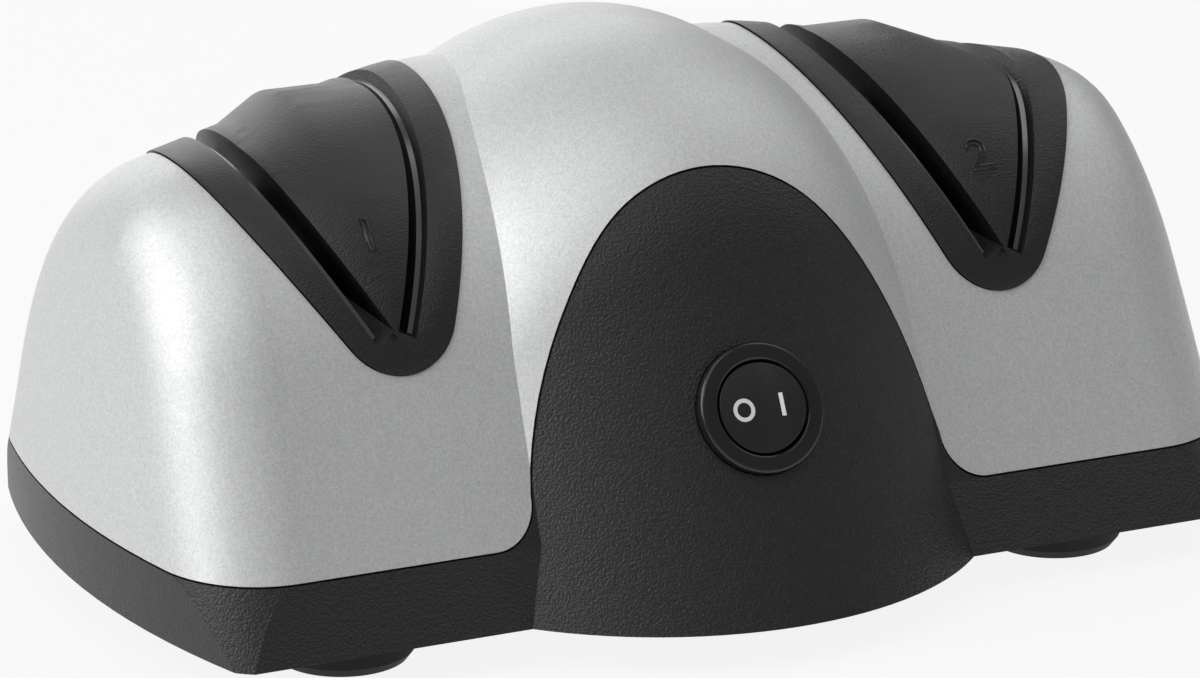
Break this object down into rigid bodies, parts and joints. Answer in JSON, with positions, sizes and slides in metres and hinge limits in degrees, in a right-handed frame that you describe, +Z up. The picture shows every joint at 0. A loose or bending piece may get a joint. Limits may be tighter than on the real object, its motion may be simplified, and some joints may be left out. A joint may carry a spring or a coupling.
{
  "type": "electric knife sharpener",
  "caption": "Tabletop electric knife sharpener with a silver arched cover, black base, slotted blade guides and a front rocker switch.",
  "frame": {"origin": "centre of the footprint, on the surface that the feet stand on", "axes": "+X along the length to the right as seen from the switch side, +Y to the back, +Z up"},
  "size_m": [0.213, 0.1464, 0.0945],
  "materials": {
    "silver_cover": "satin silver paint on moulded plastic",
    "black_housing": "fine-textured black moulded plastic",
    "black_guide": "fine-textured black moulded plastic",
    "black_gloss": "smooth glossy black plastic",
    "foot_rubber": "matt black rubber",
    "switch_plastic": "semi-gloss black plastic",
    "terminal_brass": "plain brass",
    "motor_steel": "stacked lamination edges",
    "coil_copper": "enamelled copper wire",
    "bracket_steel": "zinc plated sheet steel",
    "bush_bronze": "sintered bronze",
    "white_nylon": "moulded nylon",
    "bright_steel": "bright steel",
    "grinding_ceramic": "fine-grained abrasive",
    "gland_rubber": "soft black rubber"
  },
  "bodies": {
    "housing": {"base_housing": "black_housing", "bearing_bracket_left": "bracket_steel", "bearing_bracket_right": "bracket_steel", "bearing_left": "bush_bronze", "bearing_right": "bush_bronze", "blade_guide_1": "black_guide", "blade_guide_2": "black_guide", "bottom_cover": "black_housing", "case_screws": "bright_steel", "cord_gland": "gland_rubber", "field_coil": "coil_copper", "filings_tray_1": "black_housing", "filings_tray_2": "black_housing", "foot_front_left": "foot_rubber", "foot_front_right": "foot_rubber", "foot_rear_left": "foot_rubber", "foot_rear_right": "foot_rubber", "guide_rail_1_inner": "black_gloss", "guide_rail_1_outer": "black_gloss", "guide_rail_2_inner": "black_gloss", "guide_rail_2_outer": "black_gloss", "motor_cushion_front": "foot_rubber", "motor_cushion_rear": "foot_rubber", "motor_pillars": "bright_steel", "stator_core": "motor_steel", "switch_case": "switch_plastic", "switch_terminal_left": "terminal_brass", "switch_terminal_right": "terminal_brass", "top_cover": "silver_cover"},
    "rocker": {"switch_rocker": "switch_plastic"},
    "spindle": {"cooling_fan": "white_nylon", "motor_shaft": "bright_steel", "retaining_ring_1": "bright_steel", "retaining_ring_2": "bright_steel", "rotor_core": "motor_steel", "shaft_collar_1": "bright_steel", "shaft_collar_2": "bright_steel", "wheel_1_inner": "grinding_ceramic", "wheel_1_outer": "grinding_ceramic", "wheel_2_inner": "grinding_ceramic", "wheel_2_outer": "grinding_ceramic", "wheel_spring_1": "bright_steel", "wheel_spring_2": "bright_steel"}
  },
  "joints": [
    {"name": "rocker_tilt", "type": "hinge", "parent": "housing", "child": "rocker", "pos_m": [0, -0.05534, 0.0406], "axis": [0, 0.4695, 0.8829], "range_deg": [0, 14]},
    {"name": "spindle_spin", "type": "hinge", "parent": "housing", "child": "spindle", "pos_m": [0, 0.0158, 0.042], "axis": [1, 0, 0], "continuous": true}
  ]
}
